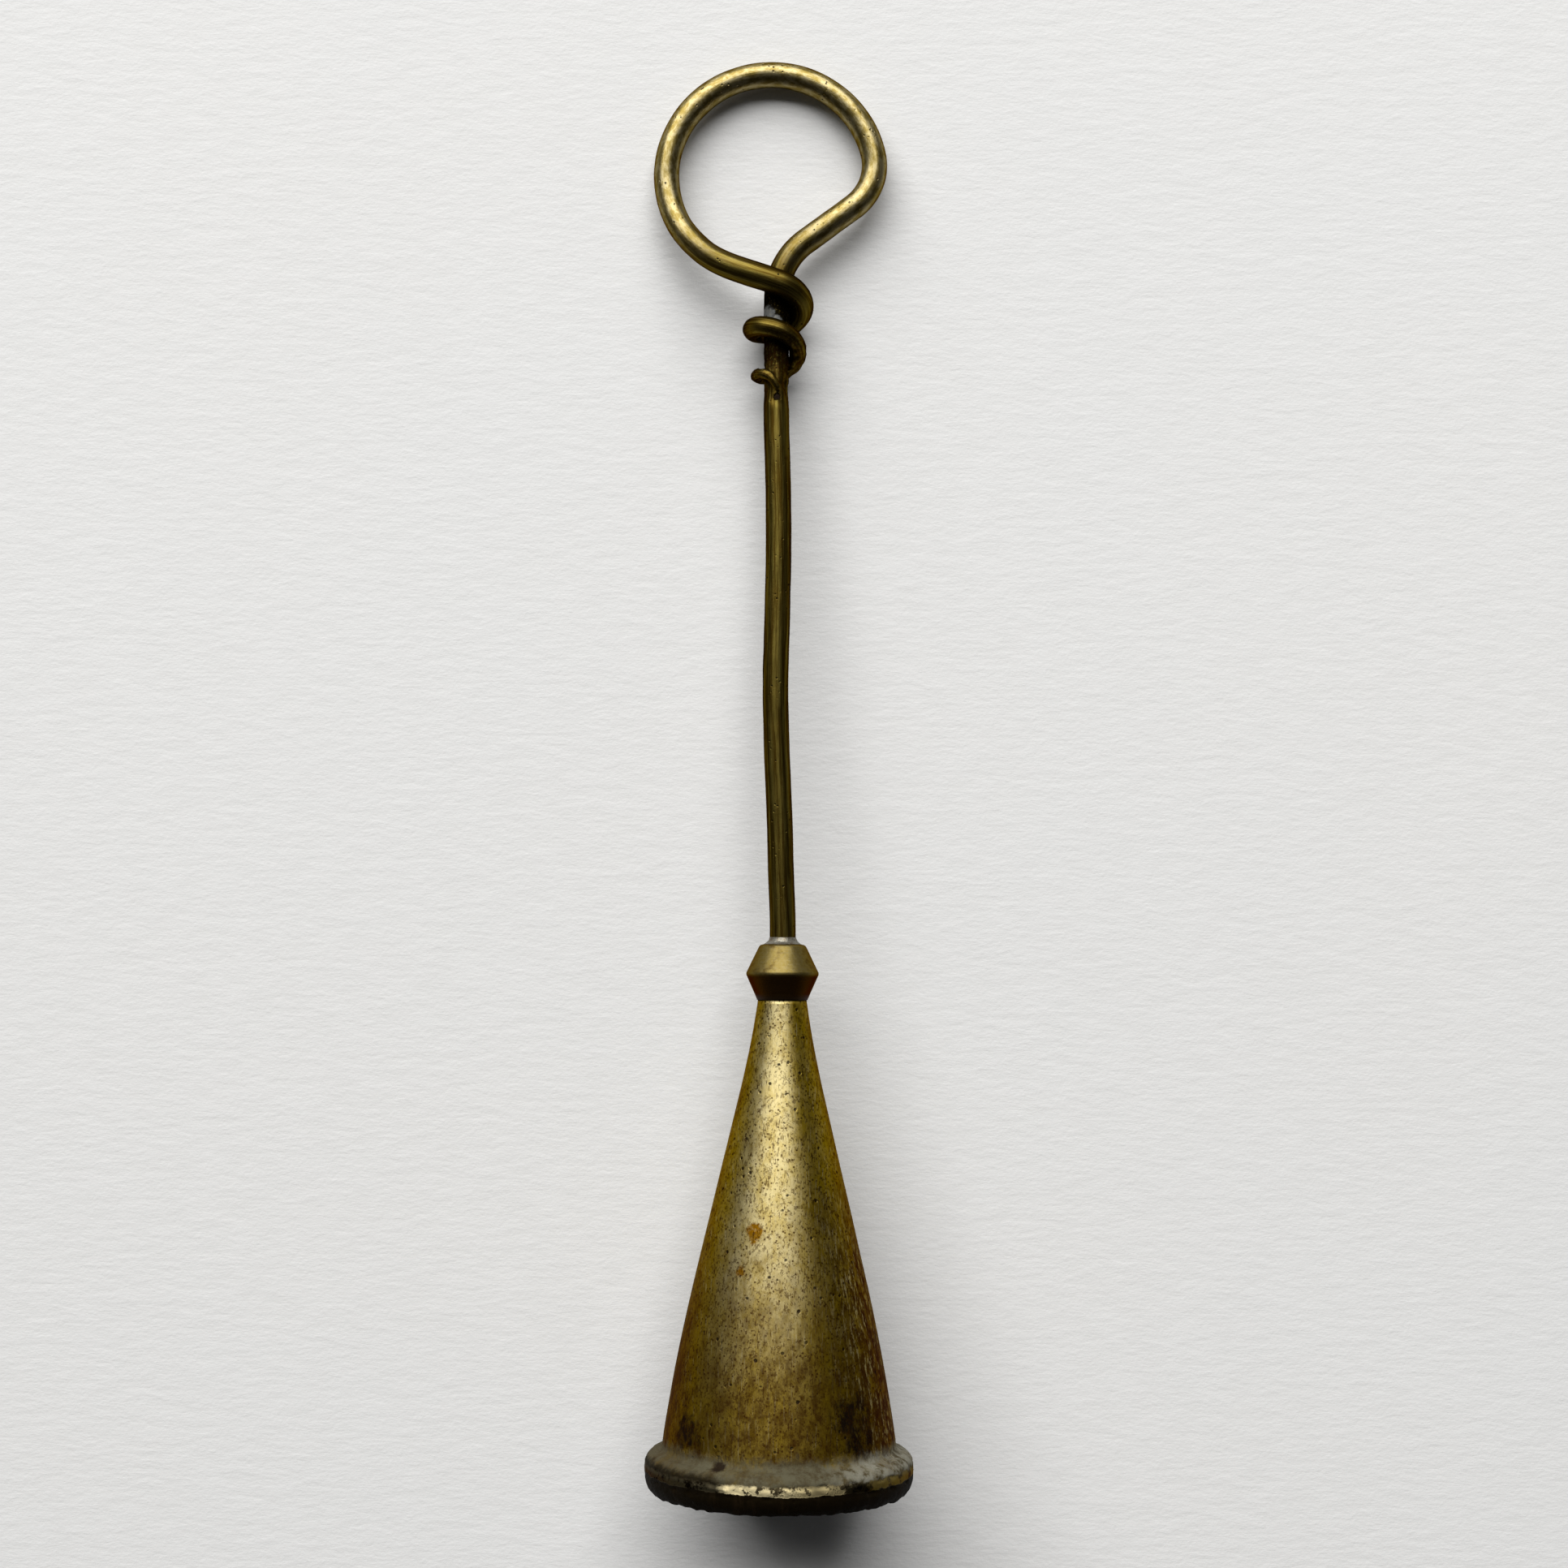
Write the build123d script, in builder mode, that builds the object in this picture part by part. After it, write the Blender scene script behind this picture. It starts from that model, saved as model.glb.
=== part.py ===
from build123d import *
import os
from math import cos, pi, radians, sin

# Candle snuffer: a hollow brass bell on a bent-wire handle.
# The bell's axis is Z and its mouth rests on Z = 0. The finger ring lies in the XZ plane and
# faces -Y. All sizes are in millimetres.

# Bell
rim_radius = 16.0  # moulded bead round the mouth
rim_height = 5.6  # mouth to the foot of the flank
rim_face_low = 2.1  # lower edge of the bead's narrow outer face
rim_face_high = 3.3  # its upper edge, a sharp arris
rim_undercut = 0.8  # how far the bead draws in below its outer face
cove_radius = 0.9  # hollow where the flank meets the bead
cove_turn = 80.0
bell_height = 57.8
skirt_radius = 13.9  # flank where it meets the bead
flank_low_radius = 10.2  # lower end of the flank's straight stretch
flank_low_rise = 19.4  # and its height above the bead
flank_high_radius = 5.0  # upper end of the straight stretch
flank_high_drop = 10.8  # and its depth below the crown
crown_radius = 2.95
wall = 1.5
crown_solid = 11.8  # solid metal above the cavity
mouth_flare = 0.6  # the cavity widens by this much between the flank's foot and the mouth

# Collar: a turned double cone that sits on the crown
collar_height = 6.7
collar_equator_height = 3.2
collar_foot_radius = 3.05
collar_equator_radius = 4.4
collar_top_radius = 2.75
collar_edge = 0.35  # rounding of the top edge
equator_edge = 0.15  # rounding of the equator

# Wire handle
wire_radius = 1.6
tenon_radius = 1.2  # the wire's foot, turned down to pass through collar and crown
tenon_clearance = 0.05  # radial, in collar, crown and burr
stem_length = 79.8  # collar to the neck bend
stem_foot = 4.0  # straight stretch out of the collar
stem_bow = 1.15  # sideways set, towards -X, of the lower bow
stem_bow_at = 0.40  # its place, as a share of the stem
stem_recovery = 0.8  # sideways set of the straighter stretch above it
stem_recovery_at = 0.60
stem_lean = 1.3  # sideways set of the top
stem_lean_at = 0.85
stem_bend_radius = 150.0
neck_bend_radius = 9.0
neck_angle = 52.8  # slope of the neck away from the stem
neck_length = 7.4  # straight stretch between the two bends
shoulder_bend_radius = 6.5  # where the neck turns into the ring
ring_radius = 13.0  # to the middle of the wire
ring_start_angle = 13.0  # the ring's round part starts this far above its middle
ring_lift_start = (25.0, 0.12)  # degrees below the ring's left end, and share of the crossing
ring_lift_end = (48.0, 0.45)  # the wire comes forward through these two places

# Wrap: the wire's drawn-down tail, wound round the stem below the ring
wrap_gap = 0.12  # between the tail and the stem
wrap_pitch = 5.8
wrap_tilt = 0.75  # each turn hangs lower behind the stem than in front of it
wrap_sweep = 735.0  # degrees, from the front of the stem to the tip
wrap_rise = 1.1  # first crossing, above the top of the stem
tail_tip_radius = 0.4
tail_fullness = 0.6  # below 1, the tail stays thick for longer
wrap_points_per_turn = 16

# Rivet and solder
burr_radius = 3.0
burr_thickness = 0.9
rivet_radius = 2.1
rivet_height = 0.8
solder_rise = 0.9
solder_spread = 0.75
solder_hollow = 0.18
solder_gap = 0.02  # between the solder ring and the stem

os.makedirs("parts", exist_ok=True)

# Heights that follow from the sizes above
cavity_top = bell_height - crown_solid
flank_low_height = rim_height + flank_low_rise
flank_high_height = bell_height - flank_high_drop
collar_top = bell_height + collar_height
bore_radius = tenon_radius + tenon_clearance
stem_top = collar_top + stem_length
burr_under = cavity_top - burr_thickness

# The radius of the flank's straight stretch, carried on to the cavity's ceiling
flank_slope = (flank_low_radius - flank_high_radius) / (flank_high_height - flank_low_height)
ceiling_radius = flank_high_radius + flank_slope * (flank_high_height - cavity_top) - wall

# Bell: one turned shell, flank and bead together
with BuildPart() as bell:
    with BuildSketch(Plane.XZ):
        with BuildLine():
            flank = Line((flank_low_radius, flank_low_height), (flank_high_radius, flank_high_height))
            TangentArc(flank @ 1, (crown_radius, bell_height), tangent=flank % 1)
            TangentArc(flank @ 0, (skirt_radius, rim_height), tangent=flank % 0 * -1)
            cove = JernArc((skirt_radius, rim_height), (0, -1), cove_radius, cove_turn)
            shoulder = TangentArc(cove @ 1, (rim_radius, rim_face_high), tangent=cove % 1)
            face = Line(shoulder @ 1, (rim_radius, rim_face_low))
            undercut = TangentArc(face @ 1, (rim_radius - rim_undercut, 0), tangent=face % 1)
            mouth = Line(undercut @ 1, (skirt_radius - wall + mouth_flare, 0))
            inner_skirt = Line(mouth @ 1, (skirt_radius - wall, rim_height))
            inner_flank = Line((flank_low_radius - wall, flank_low_height), (ceiling_radius, cavity_top))
            TangentArc(inner_flank @ 0, inner_skirt @ 1, tangent=inner_flank % 0 * -1)
            ceiling = Line(inner_flank @ 1, (bore_radius, cavity_top))
            bore = Line(ceiling @ 1, (bore_radius, bell_height))
            Line(bore @ 1, (crown_radius, bell_height))
        make_face()
    revolve(axis=Axis.Z)
bell.part.label = "bell"
export_step(bell.part, "parts/bell.step")

# Collar: double cone, bored for the tenon
with BuildPart() as collar:
    with BuildSketch(Plane.XZ) as collar_outline:
        with BuildLine():
            Polyline(
                (bore_radius, bell_height),
                (collar_foot_radius, bell_height),
                (collar_equator_radius, bell_height + collar_equator_height),
                (collar_top_radius, collar_top),
                (bore_radius, collar_top),
                close=True,
            )
        make_face()
        outer_corners = collar_outline.vertices().sort_by(Axis.X)
        fillet(outer_corners[-1], equator_edge)
        top_corners = collar_outline.vertices().group_by(Axis.Y)[-1].sort_by(Axis.X)
        fillet(top_corners[-1], collar_edge)
    revolve(axis=Axis.Z)
collar.part.label = "collar"
export_step(collar.part, "parts/collar.step")

# Handle, first stretch: tenon, stem, neck and the round of the ring, all in the XZ plane.
# The neck leaves the stem with one bend and turns into the ring with another.
with BuildLine(Plane.XZ) as stem_line:
    stem = FilletPolyline(
        (0, collar_top),
        (0, collar_top + stem_foot),
        (-stem_bow, collar_top + stem_bow_at * stem_length),
        (-stem_recovery, collar_top + stem_recovery_at * stem_length),
        (-stem_lean, collar_top + stem_lean_at * stem_length),
        (-stem_lean, stem_top),
        radius=stem_bend_radius,
    )
    neck_bend = JernArc(stem @ 1, stem % 1, neck_bend_radius, -neck_angle)
    neck = PolarLine(neck_bend @ 1, neck_length, direction=neck_bend % 1)
    shoulder_bend = JernArc(neck @ 1, neck % 1, shoulder_bend_radius, neck_angle + ring_start_angle)
    ring = JernArc(shoulder_bend @ 1, shoulder_bend % 1, ring_radius, 180 - ring_start_angle)

# Handle, second stretch: the ring's lower left, which comes forward to cross in front of the
# stem, and the tapering wrap. Its line runs through these points, each with the wire's radius.
ring_middle = (ring @ 1) + Vector(ring_radius, 0, 0)
wrap_start = stem_top + wrap_rise
crossing_offset = wire_radius + wrap_gap + wire_radius


def ring_point(angle, share):
    """Middle of the ring's wire, angle below its left end, at a share of the way forward."""
    turn = radians(180 + angle)
    forward = share * crossing_offset
    return ring_middle + Vector(ring_radius * cos(turn), -forward, ring_radius * sin(turn))


def wrap_radius(share):
    """Radius of the tail at a share of the way from the first crossing to the tip."""
    return tail_tip_radius + (wire_radius - tail_tip_radius) * (1 - share) ** tail_fullness


def wrap_point(share):
    """Middle of the tail, wound round the stem from the front by way of its right-hand side."""
    turn = radians(wrap_sweep * share)
    offset = wire_radius + wrap_gap + wrap_radius(share)
    drop = wrap_pitch * turn / (2 * pi) + wrap_tilt * (1 - cos(turn))
    return Vector(-stem_lean + offset * sin(turn), -offset * cos(turn), wrap_start - drop)


def wrap_direction(share):
    """Direction of the tail there, taken across half a section's spacing on either side."""
    reach = 0.5 / wrap_count
    return (wrap_point(min(share + reach, 1)) - wrap_point(max(share - reach, 0))).normalized()


wrap_count = round(wrap_points_per_turn * wrap_sweep / 360)
wrap_shares = [i / wrap_count for i in range(wrap_count + 1)]
ring_points = [ring @ 1, ring_point(*ring_lift_start), ring_point(*ring_lift_end), wrap_point(0)]

# Cross-sections of the wrap, square to its line, each turned to follow the one before
wrap_planes = []
across = Vector(0, 0, -1)
for share in wrap_shares:
    along = wrap_direction(share)
    across = (across - along * across.dot(along)).normalized()
    wrap_planes.append(Plane(origin=wrap_point(share), x_dir=across, z_dir=along))

with BuildLine() as wire_line:
    add(stem_line.line)
    Spline(*ring_points, tangents=[ring % 1, wrap_direction(0)])

# One wire, from the riveted foot of its tenon to the tip of its tail
with BuildPart() as wire_handle:
    with BuildSketch(Plane.XY.offset(collar_top)):
        Circle(wire_radius)
    sweep(path=wire_line.line)
    for plane, share in zip(wrap_planes, wrap_shares):
        with BuildSketch(plane):
            Circle(wrap_radius(share))
    loft()
    with BuildSketch(Plane.XZ):
        with BuildLine():
            tenon = Polyline(
                (0, burr_under - rivet_height),
                (0, collar_top),
                (tenon_radius, collar_top),
                (tenon_radius, burr_under),
                (rivet_radius, burr_under),
            )
            TangentArc(tenon @ 0, tenon @ 1, tangent=(1, 0))
        make_face()
    revolve(axis=Axis.Z)
wire_handle.part.label = "wire_handle"
export_step(wire_handle.part, "parts/wire_handle.step")

# Burr: the washer that the tenon's end is riveted over, against the ceiling of the cavity
with BuildPart() as rivet_burr:
    with BuildSketch(Plane.XY.offset(burr_under)):
        Circle(burr_radius)
        Circle(bore_radius, mode=Mode.SUBTRACT)
    extrude(amount=burr_thickness)
rivet_burr.part.label = "rivet_burr"
export_step(rivet_burr.part, "parts/rivet_burr.step")

# Solder: a hollow-faced ring that fills the corner between the stem and the collar's top
solder_inner = wire_radius + solder_gap
with BuildPart() as solder_fillet:
    with BuildSketch(Plane.XZ):
        with BuildLine():
            corner = Polyline(
                (solder_inner, collar_top + solder_rise),
                (solder_inner, collar_top),
                (solder_inner + solder_spread, collar_top),
            )
            SagittaArc(corner @ 1, corner @ 0, solder_hollow)
        make_face()
    revolve(axis=Axis.Z)
solder_fillet.part.label = "solder_fillet"
export_step(solder_fillet.part, "parts/solder_fillet.step")
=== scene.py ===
import bmesh
import bpy
from math import cos, exp, hypot, pi, radians, sin
from mathutils import Matrix, Vector, noise


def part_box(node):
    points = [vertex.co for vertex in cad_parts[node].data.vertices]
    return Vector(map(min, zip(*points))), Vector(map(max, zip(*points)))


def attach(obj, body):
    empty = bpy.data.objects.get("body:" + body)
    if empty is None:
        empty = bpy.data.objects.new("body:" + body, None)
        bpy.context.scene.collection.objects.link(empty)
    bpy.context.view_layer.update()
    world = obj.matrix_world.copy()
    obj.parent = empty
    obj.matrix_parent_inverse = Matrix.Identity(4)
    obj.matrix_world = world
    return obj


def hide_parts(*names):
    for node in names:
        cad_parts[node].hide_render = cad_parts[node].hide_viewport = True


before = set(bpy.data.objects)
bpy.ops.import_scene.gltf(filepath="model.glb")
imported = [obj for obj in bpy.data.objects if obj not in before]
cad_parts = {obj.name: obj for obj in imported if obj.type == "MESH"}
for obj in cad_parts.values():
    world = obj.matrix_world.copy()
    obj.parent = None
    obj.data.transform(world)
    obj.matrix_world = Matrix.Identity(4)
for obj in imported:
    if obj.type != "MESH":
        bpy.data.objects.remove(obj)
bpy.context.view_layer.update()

# Candle snuffer: a hollow turned brass bell with a beaded mouth, a double-cone collar, and a
# bent-wire handle whose tail is wound round its own stem below the finger ring.
# The bell's axis is Z, its mouth rests on Z = 0, and its front faces -Y.
# Sizes below are in millimetres, and MM takes them to Blender's metres.
MM = 0.001


def height_of(node, corner):
    """Lowest (0) or highest (1) point of a CAD node, in millimetres."""
    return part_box(node)[corner][2] / MM


BELL_TOP = height_of("bell", 1)
COLLAR_TOP = height_of("collar", 1)
BURR_UNDER = height_of("rivet_burr", 0)
CAVITY_TOP = height_of("rivet_burr", 1)
RIVET_FOOT = height_of("wire_handle", 0)

# Bell: radii, and heights above the mouth
RIM_RADIUS = 16.0
RIM_HEIGHT = 5.6
FACE_LOW = 2.1  # the bead's narrow outer face starts here
FACE_HIGH = 3.3  # and ends here, at a sharp arris
UNDERCUT = 0.8
COVE_RADIUS = 0.9
COVE_TURN = 80.0
SKIRT_RADIUS = 13.9
FLANK_LOW = (10.2, 25.0)  # the ends of the flank's straight stretch, as radius and height
FLANK_HIGH = (5.0, 47.0)
CROWN_RADIUS = 2.95
WALL = 1.5
MOUTH_FLARE = 0.6
MOUTH_ROWS = 8  # points of the outline, across the mouth's flat, that share its ragged edge
BORE = 1.25
SOOT_LINE = 2.6
BELL_STEPS = 320  # round the bell

# Collar
FOOT_RADIUS = 3.05
EQUATOR_RADIUS = 4.38
EQUATOR_HEIGHT = 3.2
EQUATOR_LAND = 0.16  # its turned land reaches so far below it, and a little less above
TOP_RADIUS = 2.75
TOP_EDGE = 0.38  # rounding of the top edge
COLLAR_STEPS = 192

# Solder and burr
SOLDER_GAP = 0.02
SOLDER_SPREAD = 0.72
SOLDER_RISE = 0.84
SOLDER_FOOT = 0.01  # off the collar
SMALL_STEPS = 96

# Wire
WIRE_RADIUS = 1.6
TENON_RADIUS = 1.2
RIVET_RADIUS = 2.08
DOME_STEPS = 6  # up the rivet's domed head
STEM_TOP = COLLAR_TOP + 79.8
STEM_STATIONS = (
    # sideways set and height of the stem's centre line, from the collar up
    (0.0, COLLAR_TOP),
    (0.0, 66.5),
    (-0.25, 72.7),
    (-0.38, 76.6),
    (-0.52, 80.6),
    (-0.9, 88.5),
    (-1.1, 96.5),
    (-0.95, 104.5),
    (-0.85, 112.5),
    (-0.95, 120.6),
    (-1.2, 127.5),
    (-1.3, 134.0),
    (-1.3, STEM_TOP),
)
NECK_BEND = (9.0, 52.8)  # radius and turn
NECK_LENGTH = 7.4
SHOULDER_BEND = (6.5, 65.8)
RING_RADIUS = 13.0
RING_TURN = 167.0
RING_LIFTS = ((25.0, 0.12), (48.0, 0.45))  # degrees below the ring's left end, way forward
STEM_LEAN = 1.3
WRAP_GAP = -0.04  # the tail is pulled into the stem
WRAP_PITCH = 5.8
WRAP_TILT = 0.75
WRAP_SWEEP = 724.0  # degrees, from the front of the stem to the tip
WRAP_STEP = 9.0  # degrees from one of its stations to the next
WRAP_RISE = 1.1
HOOK_FROM = 0.94  # the last of the tail turns down
HOOK_DROP = 1.1
TAIL_TIP = 0.5
TAIL_FULLNESS = 0.6
TIP_TURN = 84.0  # degrees of rounding at the tip
TIP_STEPS = 4
WIRE_SPACING = 0.28

# What the drawing of the wire takes: the name, kind and value of each input
WIRE_WORK = (
    ("Facets", "NodeSocketInt", 40),
    ("Hammer flats", "NodeSocketFloat", 0.04 * MM),
    ("Draw lines", "NodeSocketFloat", 0.025 * MM),
    ("Lumps", "NodeSocketFloat", 0.35 * MM),
    ("Lumps from", "NodeSocketFloat", 130.0 * MM),
    ("Lumps to", "NodeSocketFloat", 139.5 * MM),
    ("Seed", "NodeSocketInt", 7),
)


# ---------------------------------------------------------------- lines and turned shapes

def arc(start, heading, radius, turn, spacing):
    """Points after start on an arc that turns left by so many degrees, and its last heading."""
    steps = max(1, round(abs(radius * radians(turn)) / spacing))
    side = 1 if turn > 0 else -1
    middle = start + Vector((-heading.y, heading.x)) * radius * side
    points = []
    for step in range(1, steps + 1):
        spin = Matrix.Rotation(radians(turn) * step / steps, 2)
        points.append(middle + spin @ (start - middle))
    return points, Matrix.Rotation(radians(turn), 2) @ heading


def arc_to(start, heading, end, spacing):
    """Points after start on the arc that leaves it in a heading and reaches end."""
    chord = end - start
    half = heading.angle_signed(chord)  # clockwise is positive
    if abs(half) < 1e-4:
        return run(start, end, spacing), heading
    radius = chord.length / (2 * abs(sin(half)))
    return arc(start, heading, radius, -2 * half * 180 / pi, spacing)


def run(start, end, spacing):
    """Points after start on a straight line to end."""
    steps = max(1, round((end - start).length / spacing))
    return [start.lerp(end, step / steps) for step in range(1, steps + 1)]


def speckle(place, size, layers=3):
    """Layered noise from about -1 to 1 whose largest lumps are about size across."""
    return noise.fractal(place / size, 0.9, 2.1, layers)


def turned(name, outline, around, worn, soot=None):
    """A closed outline of (radius, height) turned about Z, its surface then worn by a rule.

    The attribute lay unrolls it: a unit circle's X and Y, and the length along the outline.
    """
    mesh = bpy.data.meshes.new(name)
    places = []
    lays = []
    soots = []
    length = 0.0
    for row, point in enumerate(outline):
        if row:
            length += (point - outline[row - 1]).length
        for step in range(around):
            turn = 2 * pi * step / around
            place = Vector((point.x * cos(turn), point.x * sin(turn), point.y))
            places.append(worn(place, row) * MM)
            lays.extend((cos(turn), sin(turn), length))
            soots.append(soot(row) if soot else 0.0)
    rows = len(outline)
    total = rows * around
    faces = []
    for row in range(rows):
        for step in range(around):
            here = row * around + step
            beside = row * around + (step + 1) % around
            faces.append((here, beside, (beside + around) % total, (here + around) % total))
    mesh.from_pydata(places, [], faces)
    mesh.attributes.new("lay", "FLOAT_VECTOR", "POINT").data.foreach_set("vector", lays)
    if soot:
        mesh.attributes.new("soot", "FLOAT", "POINT").data.foreach_set("value", soots)
    mesh.shade_smooth()
    tidy = bmesh.new()
    tidy.from_mesh(mesh)
    bmesh.ops.recalc_face_normals(tidy, faces=tidy.faces)
    tidy.to_mesh(mesh)
    tidy.free()
    piece = bpy.data.objects.new(name, mesh)
    bpy.context.scene.collection.objects.link(piece)
    return piece


# ---------------------------------------------------------------- node trees

class Steps:
    """Adds nodes to a tree. Each step takes sockets or plain values and gives its output."""

    def __init__(self, tree):
        self.tree = tree

    def add(self, kind, feeds, output=0, **settings):
        made = self.tree.nodes.new(kind)
        for setting, value in settings.items():
            setattr(made, setting, value)
        for socket, value in feeds.items():
            if isinstance(value, bpy.types.NodeSocket):
                self.tree.links.new(value, made.inputs[socket])
            else:
                made.inputs[socket].default_value = value
        return made.outputs[output]

    def chain(self, operation, values):
        """One sum after another, through all the values."""
        total = values[0]
        for value in values[1:]:
            total = self.add("ShaderNodeMath", {0: total, 1: value}, operation=operation)
        return total

    def times(self, *values):
        return self.chain("MULTIPLY", values)

    def plus(self, *values):
        return self.chain("ADD", values)

    def most(self, *values):
        return self.chain("MAXIMUM", values)

    def grow(self, vector, factors):
        """A vector with each of its parts multiplied by its own factor."""
        return self.add("ShaderNodeVectorMath", {0: vector, 1: factors}, operation="MULTIPLY")

    def scale(self, vector, factor):
        feeds = {0: vector, "Scale": factor}
        return self.add("ShaderNodeVectorMath", feeds, operation="SCALE")

    def shift(self, vector, amount):
        return self.add("ShaderNodeVectorMath", {0: vector, 1: amount}, operation="ADD")

    def noise(self, vector, size, detail=3.0, rough=0.55):
        """Cloudy noise about 0.5, its lumps about size across."""
        feeds = {"Vector": vector, "Scale": 1 / size, "Detail": detail, "Roughness": rough}
        return self.add("ShaderNodeTexNoise", feeds)

    def streaks(self, lay, across, along, detail, rough):
        """Noise over the unrolled surface, finer the greater its number across or along."""
        return self.noise(self.grow(lay, (across, across, along)), 1.0, detail, rough)

    def cells(self, vector, size):
        """Distance to the nearest of scattered points about size apart."""
        feeds = {"Vector": vector, "Scale": 1 / size}
        return self.add("ShaderNodeTexVoronoi", feeds, "Distance")

    def ease(self, value, start, end):
        """0 up to start, 1 from end on, and a smooth change between."""
        feeds = {"Value": value, "From Min": start, "From Max": end}
        return self.add("ShaderNodeMapRange", feeds, interpolation_type="SMOOTHSTEP")

    def level(self, share, first, second):
        """A number that goes from first to second as share goes from 0 to 1."""
        return self.add("ShaderNodeMix", {0: share, 2: first, 3: second})

    def tone(self, share, first, second):
        """A colour that goes from first to second as share goes from 0 to 1."""
        feeds = {0: share}
        for socket, colour in ((6, first), (7, second)):
            feeds[socket] = colour if isinstance(colour, bpy.types.NodeSocket) else (*colour, 1)
        return self.add("ShaderNodeMix", feeds, 2, data_type="RGBA")

    def split(self, vector, axis):
        return self.add("ShaderNodeSeparateXYZ", {0: vector}, axis)

    def store(self, geometry, name, value, kind):
        """Geometry with a value kept on its points under a name."""
        feeds = {"Geometry": geometry, "Name": name, "Value": value}
        stored = "GeometryNodeStoreNamedAttribute"
        return self.add(stored, feeds, data_type=kind, domain="POINT")

    def recall(self, name, kind):
        return self.add("GeometryNodeInputNamedAttribute", {"Name": name}, data_type=kind)


class Finish(Steps):
    """A surface finish: colour, metal, roughness and relief over one shader."""

    def __init__(self, name, **fixed):
        self.material = bpy.data.materials.new(name)
        self.material.use_nodes = True
        super().__init__(self.material.node_tree)
        self.shader = self.tree.nodes["Principled BSDF"]
        for socket, value in fixed.items():
            self.shader.inputs[socket.replace("_", " ")].default_value = value
        metres = self.add("ShaderNodeTexCoord", {}, "Object")
        self.place = self.scale(metres, 1 / MM)
        self.height = self.split(self.place, "Z")

    def lay(self):
        """The unrolled surface, as the piece's own attribute gives it."""
        return self.add("ShaderNodeAttribute", {}, "Vector", attribute_name="lay")

    def slant(self, lean, factors):
        """The place, leant about Y and drawn out, for marks that cross the slope."""
        feeds = {"Vector": self.place, "Rotation": (0, lean, 0), "Scale": factors}
        return self.add("ShaderNodeMapping", feeds)

    def spot(self, middle, radius, ragged, grain):
        """1 inside a ragged blot about middle, and 0 outside it."""
        feeds = {0: self.place, 1: middle}
        away = self.add("ShaderNodeVectorMath", feeds, "Value", operation="DISTANCE")
        cloud = self.plus(self.noise(self.place, grain, 4.0, 0.65), -0.5)
        edge = self.times(cloud, 2 * ragged * radius)
        return self.ease(self.plus(away, edge), radius, radius * 0.55)

    def spots(self, blots, ragged, grain):
        """1 inside any of several ragged blots, each given as a middle and a radius."""
        return self.most(*[self.spot(*blot, ragged, grain) for blot in blots])

    def wear(self, colour, rough, relief, metal=None):
        """Feeds the shader. Relief is in millimetres."""
        links = {"Base Color": colour, "Roughness": rough}
        if metal is not None:
            links["Metallic"] = metal
        bump = {"Height": relief, "Strength": 1.0, "Distance": MM}
        links["Normal"] = self.add("ShaderNodeBump", bump)
        for socket, value in links.items():
            self.tree.links.new(value, self.shader.inputs[socket])
        return self.material


# ---------------------------------------------------------------- finishes

# Brass, old and worn
OLD_BRASS = (0.235, 0.158, 0.004)
PALE_BRASS = (0.390, 0.333, 0.170)
# Bare metal on the bead's face: the first carries a painted highlight, the second is the duller
# metal beside it
BARE_BRASS_HIGHLIGHT = (0.72, 0.62, 0.36)
DULLED_BRASS = (0.110, 0.078, 0.014)
OLIVE_BRASS = (0.100, 0.060, 0.003)
COLLAR_BRASS = (0.098, 0.077, 0.035)
# The collar's lower cone: painted shade
COLLAR_PAINTED_SHADE = (0.040, 0.016, 0.003)
DARK_WIRE = (0.042, 0.025, 0.003)
OLIVE_WIRE = (0.130, 0.100, 0.022)
RUBBED_WIRE = (0.165, 0.122, 0.032)
BRIGHT_WIRE = (0.375, 0.320, 0.175)
GRAZING_BRASS = (0.45, 0.31, 0.08, 1)  # how polished edges look at a glancing angle
GRAZING_WIRE = (0.24, 0.165, 0.045, 1)

# What has settled on it
BROWN_TARNISH = (0.032, 0.012, 0.002)
BLACK_TARNISH = (0.014, 0.009, 0.006)
ORANGE_STAIN = (0.150, 0.068, 0.002)
ASH_RESIDUE = (0.084, 0.077, 0.048)
PALE_ASH = (0.185, 0.178, 0.140)
BROWN_ASH = (0.050, 0.039, 0.020)
SOOT_BLACK = (0.003, 0.002, 0.001)
BROWN_SOOT = (0.010, 0.006, 0.003)
RUSTY_SOOT = (0.09, 0.055, 0.02)
CHALK = (0.34, 0.36, 0.36)
DULL_SILVER = (0.21, 0.20, 0.165)
FLUX_BROWN = (0.13, 0.09, 0.045)

# The stage
PAPER_HOLLOW = (0.722, 0.720, 0.708)
PAPER_FIBRE = (0.748, 0.746, 0.736)
PAPER_COOL = (0.718, 0.733, 0.738)
ROOM_DARK = (0.012, 0.011, 0.010)
ROOM_BROWN = (0.020, 0.018, 0.016)

# Marks on the bell, each a middle and a radius
BLACK_PATCHES = (
    ((8.6, -9.6, 10.0), 3.4),
    ((9.4, -9.8, 7.4), 2.6),
    ((-10.6, -8.2, 8.0), 2.6),
    ((-5.0, 8.0, 12.0), 6.0),
    ((10.0, 5.0, 20.0), 4.5),
)
PITS = (
    ((-7.0, -12.3, 5.9), 0.6),
    ((-2.2, -13.9, 6.6), 0.35),
    ((-4.6, -7.3, 37.5), 0.3),
)
SCRATCHES = ((0.5, 0.67), (-0.35, 0.69), (1.2, 0.70))  # lean in radians, and how sparse


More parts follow.
